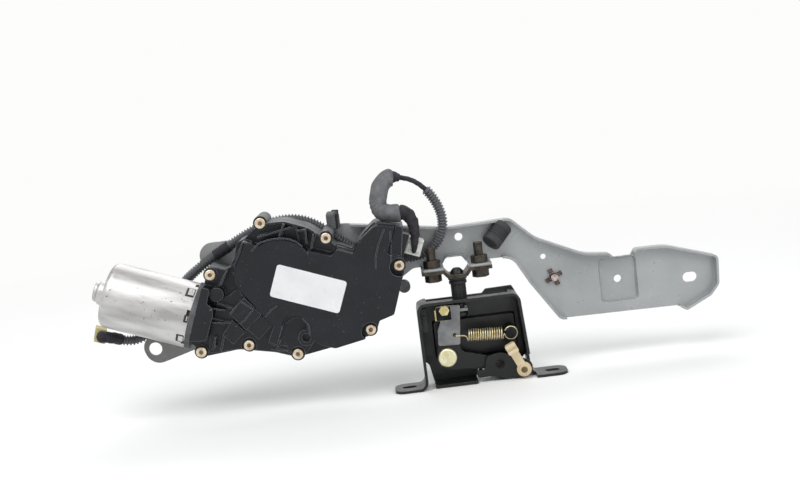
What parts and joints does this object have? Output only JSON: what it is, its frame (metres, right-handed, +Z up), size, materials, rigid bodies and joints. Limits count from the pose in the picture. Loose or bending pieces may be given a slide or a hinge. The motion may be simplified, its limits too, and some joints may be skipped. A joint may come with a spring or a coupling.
{
  "type": "rear wiper motor module",
  "caption": "Rear wiper gearmotor on a long pressed bracket, with a striker post, the window latch hooked on it, and a wiring lead along the top.",
  "frame": {"origin": "on the wiper spindle axis, at the shoulder that the wiper arm seats on", "axes": "+X along the bracket towards its slotted end, +Z up along the striker post, +Y along the wiper spindle, out through the panel"},
  "size_m": [0.5723, 0.102, 0.1995],
  "materials": {
    "can_metal": "satin zinc plated steel",
    "magnet_ferrite": "matt ferrite",
    "shaft_steel": "ground steel",
    "core_steel": "laminated steel",
    "copper": "enamelled copper",
    "bronze": "sintered bronze",
    "black_plastic": "moulded, slightly textured",
    "cover_plastic": "semi gloss moulded black",
    "carbon": "matt carbon",
    "spring_steel": "spring steel",
    "housing_alloy": "die cast, as cast",
    "gear_plastic": "natural acetal",
    "zinc_gold": "yellow zinc plated",
    "zinc_grey": "zinc plated",
    "zinc_brown": "dulled zinc plated",
    "board_green": "circuit board laminate",
    "bracket_paint": "light blue grey paint",
    "rubber_black": "moulded rubber",
    "rubber_grey": "moulded rubber",
    "latch_paint": "satin black paint",
    "hook_steel": "phosphated steel",
    "cream_plastic": "moulded nylon",
    "white_plastic": "moulded nylon",
    "conduit_plastic": "ribbed conduit",
    "tape": "cloth tape",
    "foam": "closed cell foam"
  },
  "bodies": {
    "module": {"motor_can": "can_metal", "field_magnets": "magnet_ferrite", "rear_bearing": "bronze", "front_bearing": "bronze", "thrust_pad": "black_plastic", "brush_holder": "black_plastic", "carbon_brushes": "carbon", "brush_springs": "spring_steel", "suppressor_chokes": "copper", "gear_housing": "housing_alloy", "wheel_axle": "shaft_steel", "spindle_bushes": "bronze", "spindle_seal": "rubber_black", "cover_gasket": "rubber_black", "gear_cover": "cover_plastic", "cover_screws": "zinc_gold", "control_board": "board_green", "park_contacts": "copper", "connector_socket": "black_plastic", "mounting_bracket": "bracket_paint", "mount_grommets": "rubber_black", "mount_sleeves": "zinc_grey", "mount_bolts": "zinc_gold", "rubber_bumper": "rubber_grey", "push_clip": "zinc_grey", "striker_plate": "zinc_brown", "striker_post": "latch_paint", "striker_collar": "rubber_black", "striker_bolts": "zinc_brown", "striker_nuts": "zinc_brown", "latch_frame": "latch_paint", "latch_backplate": "latch_paint", "latch_pins": "zinc_gold", "hook_spring": "zinc_gold", "latch_switch": "black_plastic", "latch_buffer": "rubber_black", "harness_sleeve": "tape", "harness_conduit": "conduit_plastic", "harness_cable": "tape", "foam_sleeve": "foam", "motor_plug": "white_plastic", "body_plug": "cream_plastic", "loop_clip": "black_plastic"},
    "armature": {"armature_shaft": "shaft_steel", "armature_core": "core_steel", "armature_windings": "copper", "commutator": "copper"},
    "worm_wheel": {"worm_wheel": "gear_plastic", "crank_plate": "zinc_grey"},
    "spindle": {"wiper_spindle": "shaft_steel", "spindle_clip": "spring_steel", "output_lever": "zinc_grey", "rocker_pin": "shaft_steel"},
    "coupling_rod": {"coupling_rod": "zinc_grey", "crank_pin": "shaft_steel"},
    "hook": {"latch_hook": "hook_steel", "hook_arm": "latch_paint", "hook_stud": "zinc_gold"},
    "release_lever": {"release_lever": "latch_paint"},
    "rod_clip": {"rod_clip": "cream_plastic"}
  },
  "joints": [
    {"name": "wheel_turn", "type": "hinge", "parent": "module", "child": "worm_wheel", "pos_m": [0.00017, -0.058, -0.03231], "axis": [0, 1, 0], "range_deg": [0, 180]},
    {"name": "armature_turn", "type": "hinge", "parent": "module", "child": "armature", "pos_m": [-0.02126, -0.058, -0.05396], "axis": [0.9304, 0, -0.3665], "range_deg": [0, 8100]},
    {"name": "spindle_sweep", "type": "hinge", "parent": "module", "child": "spindle", "pos_m": [0, 0, 0], "axis": [0, 1, 0], "range_deg": [0, 90]},
    {"name": "rod_pivot", "type": "hinge", "parent": "spindle", "child": "coupling_rod", "pos_m": [0.01405, -0.067, 0.00667], "axis": [0, 1, 0], "range_deg": [-90, 0]},
    {"name": "hook_open", "type": "hinge", "parent": "module", "child": "hook", "pos_m": [0.1344, -0.058, -0.0949], "axis": [0, -1, 0], "range_deg": [0, 16], "deforming": ["hook_spring"]},
    {"name": "lever_turn", "type": "hinge", "parent": "module", "child": "release_lever", "pos_m": [0.18, -0.06, -0.106], "axis": [0, 1, 0], "range_deg": [0, 24]},
    {"name": "rod_clip_turn", "type": "hinge", "parent": "release_lever", "child": "rod_clip", "pos_m": [0.2, -0.062, -0.112], "axis": [0, -1, 0], "range_deg": [-5, 40]}
  ],
  "couplings": [
    {"joint": "armature_turn", "follows": "wheel_turn", "ratio": 45},
    {"joint": "spindle_sweep", "follows": "wheel_turn", "ratio": 0.5},
    {"joint": "rod_pivot", "follows": "wheel_turn", "ratio": -0.5},
    {"joint": "lever_turn", "follows": "hook_open", "ratio": 1.5}
  ]
}
